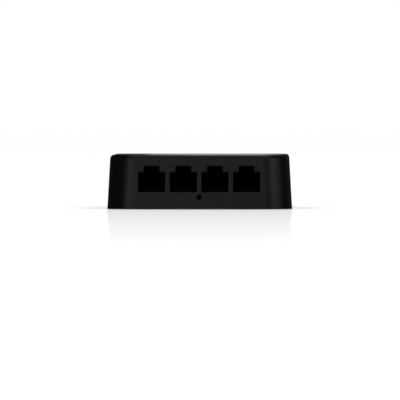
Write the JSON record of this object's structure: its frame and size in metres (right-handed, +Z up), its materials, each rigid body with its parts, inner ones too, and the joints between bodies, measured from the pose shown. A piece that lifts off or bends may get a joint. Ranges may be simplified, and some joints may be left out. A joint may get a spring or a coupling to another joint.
{
  "type": "desktop network switch",
  "caption": "Low square desktop network switch with drafted black case, a row of modular network ports with latch notches up, a reset pinhole and a round power inlet at the back.",
  "frame": {"origin": "centre of the footprint, on the plane the feet stand on", "axes": "+Z up, -Y out of the ports, +Y out of the power inlet, +X to the right as seen from the ports"},
  "size_m": [0.0818, 0.0818, 0.024],
  "materials": {
    "case_black": "fine spark-eroded texture",
    "cover_black": "fine texture",
    "foot_rubber": "matt",
    "zinc_screw": "zinc plated",
    "label_film": "matt film, blank",
    "board_green": "solder mask on glass-epoxy",
    "jack_black": "moulded",
    "carrier_black": "moulded",
    "gold_plate": "gold plated",
    "chip_black": "moulded epoxy",
    "tin_plate": "tin plated",
    "pad_grey": "silicone",
    "sink_aluminium": "extruded, plain",
    "can_steel": "nickel plated",
    "ferrite": "pressed ferrite",
    "resistor_black": "film on alumina",
    "capacitor_tan": "layered ceramic",
    "nickel_pin": "nickel plated brass",
    "led_body": "clear resin, unlit",
    "clear_plastic": "clear moulding with frosted ends",
    "spring_steel": "stainless spring",
    "plunger_black": "moulded"
  },
  "bodies": {
    "switch": {"upper_case": "case_black", "bottom_cover": "cover_black", "rubber_feet": "foot_rubber", "cover_screws": "zinc_screw", "rating_label": "label_film", "main_board": "board_green", "board_screws": "zinc_screw", "jack_housing": "jack_black", "wire_plates": "carrier_black", "rear_blocks": "carrier_black", "contact_wires": "gold_plate", "magnetics_modules": "chip_black", "magnetics_leads": "tin_plate", "switch_chip": "chip_black", "switch_chip_leads": "tin_plate", "thermal_pad": "pad_grey", "heat_sink": "sink_aluminium", "crystal_base": "chip_black", "crystal_can": "can_steel", "memory_chip": "chip_black", "memory_chip_leads": "tin_plate", "buck_regulators": "chip_black", "buck_regulator_leads": "tin_plate", "power_inductors": "ferrite", "capacitor_cans": "sink_aluminium", "capacitor_bases": "carrier_black", "resistor_chips": "resistor_black", "decoupling_chips": "capacitor_tan", "power_inlet_housing": "jack_black", "power_inlet_pin": "nickel_pin", "power_inlet_spring": "nickel_pin", "status_leds": "led_body", "light_pipe": "clear_plastic", "reset_switch_base": "carrier_black", "reset_switch_cover": "can_steel", "reset_switch_dome": "spring_steel"},
    "reset_button": {"reset_plunger": "plunger_black"}
  },
  "joints": [
    {"name": "reset_press", "type": "slide", "parent": "switch", "child": "reset_button", "axis": [0, 1, 0], "range_m": [0, 0.00025], "stiffness_N_per_m": 3000}
  ]
}
